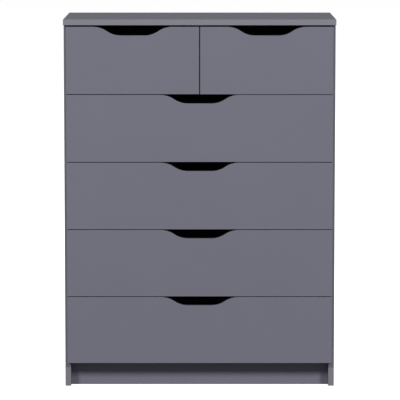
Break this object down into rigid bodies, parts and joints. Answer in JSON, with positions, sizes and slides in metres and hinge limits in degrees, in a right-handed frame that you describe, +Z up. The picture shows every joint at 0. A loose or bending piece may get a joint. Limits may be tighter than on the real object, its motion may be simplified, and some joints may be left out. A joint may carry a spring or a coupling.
{
  "type": "chest of drawers",
  "caption": "Tall free-standing chest with a pair of small drawers above full-width drawers, each front with a finger scoop in its top edge, on runner strips in a flat-board carcass.",
  "frame": {"origin": "on the floor at the centre of the footprint", "axes": "+Z up, -Y out of the drawer fronts, +X to the right of someone facing the fronts"},
  "size_m": [0.76, 0.4, 1.035],
  "materials": {
    "board": "blue-grey melamine-faced board, matt with a fine grained texture, edges banded in the same colour",
    "box_board": "grey foil-wrapped board, smooth and matt",
    "hardboard": "thin hardboard, printed grey inside, raw brown outside",
    "strip_plastic": "moulded dark grey plastic, satin",
    "softwood": "planed softwood, untreated"
  },
  "bodies": {
    "carcass": {"back_joining_strip": "strip_plastic", "back_panel_lower": "hardboard", "back_panel_upper": "hardboard", "base_panel": "board", "centre_divider": "board", "divider_shelf": "board", "plinth_front": "board", "plinth_rear": "board", "row2_runner_left": "strip_plastic", "row2_runner_right": "strip_plastic", "row3_runner_left": "strip_plastic", "row3_runner_right": "strip_plastic", "row4_runner_left": "strip_plastic", "row4_runner_right": "strip_plastic", "row5_runner_left": "strip_plastic", "row5_runner_right": "strip_plastic", "side_panel_left": "board", "side_panel_right": "board", "top_left_runner_left": "strip_plastic", "top_left_runner_right": "strip_plastic", "top_panel": "board", "top_right_runner_left": "strip_plastic", "top_right_runner_right": "strip_plastic"},
    "drawer_top_left": {"top_left_bottom": "hardboard", "top_left_front": "board", "top_left_rear": "box_board", "top_left_side_left": "box_board", "top_left_side_right": "box_board"},
    "drawer_top_right": {"top_right_bottom": "hardboard", "top_right_front": "board", "top_right_rear": "box_board", "top_right_side_left": "box_board", "top_right_side_right": "box_board"},
    "drawer_row2": {"row2_batten": "softwood", "row2_bottom": "hardboard", "row2_front": "board", "row2_rear": "box_board", "row2_side_left": "box_board", "row2_side_right": "box_board"},
    "drawer_row3": {"row3_batten": "softwood", "row3_bottom": "hardboard", "row3_front": "board", "row3_rear": "box_board", "row3_side_left": "box_board", "row3_side_right": "box_board"},
    "drawer_row4": {"row4_batten": "softwood", "row4_bottom": "hardboard", "row4_front": "board", "row4_rear": "box_board", "row4_side_left": "box_board", "row4_side_right": "box_board"},
    "drawer_row5": {"row5_batten": "softwood", "row5_bottom": "hardboard", "row5_front": "board", "row5_rear": "box_board", "row5_side_left": "box_board", "row5_side_right": "box_board"}
  },
  "joints": [
    {"name": "drawer_top_left_slide", "type": "slide", "parent": "carcass", "child": "drawer_top_left", "axis": [0, -1, 0], "range_m": [0, 0.26]},
    {"name": "drawer_top_right_slide", "type": "slide", "parent": "carcass", "child": "drawer_top_right", "axis": [0, -1, 0], "range_m": [0, 0.26]},
    {"name": "drawer_row2_slide", "type": "slide", "parent": "carcass", "child": "drawer_row2", "axis": [0, -1, 0], "range_m": [0, 0.26]},
    {"name": "drawer_row3_slide", "type": "slide", "parent": "carcass", "child": "drawer_row3", "axis": [0, -1, 0], "range_m": [0, 0.26]},
    {"name": "drawer_row4_slide", "type": "slide", "parent": "carcass", "child": "drawer_row4", "axis": [0, -1, 0], "range_m": [0, 0.26]},
    {"name": "drawer_row5_slide", "type": "slide", "parent": "carcass", "child": "drawer_row5", "axis": [0, -1, 0], "range_m": [0, 0.26]}
  ]
}
